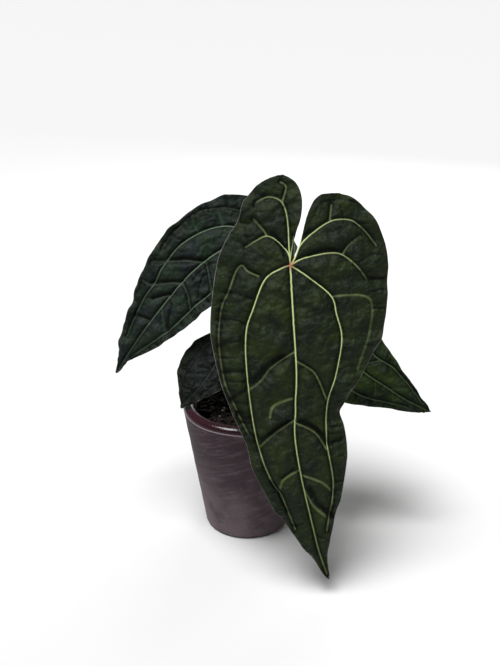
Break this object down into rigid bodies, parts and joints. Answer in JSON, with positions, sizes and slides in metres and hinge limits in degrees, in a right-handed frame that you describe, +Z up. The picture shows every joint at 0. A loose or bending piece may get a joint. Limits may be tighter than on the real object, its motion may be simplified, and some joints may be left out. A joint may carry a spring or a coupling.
{
  "type": "potted anthurium plant",
  "caption": "Velvet-leaved anthurium with long heart-shaped quilted leaves on arching stalks, in a plain tapered clay pot with a rounded lip.",
  "frame": {"origin": "middle of the pot's underside, on the surface that the pot stands on", "axes": "+Z up along the pot's axis, -Y towards the side that the largest leaf faces, +X to that leaf's right"},
  "size_m": [0.2948, 0.1992, 0.3429],
  "materials": {
    "glazed_clay": "satin",
    "potting_mix": "matte",
    "crown_bark": "matte",
    "petiole": "satin",
    "leaf_velvet": "matte"
  },
  "bodies": {
    "root": {"pot": "glazed_clay", "potting_mix": "potting_mix", "crown": "crown_bark", "petiole_front": "petiole", "petiole_left": "petiole", "petiole_right": "petiole", "petiole_small": "petiole", "blade_front": "leaf_velvet", "blade_left": "leaf_velvet", "blade_right": "leaf_velvet", "blade_small": "leaf_velvet"}
  },
  "joints": []
}
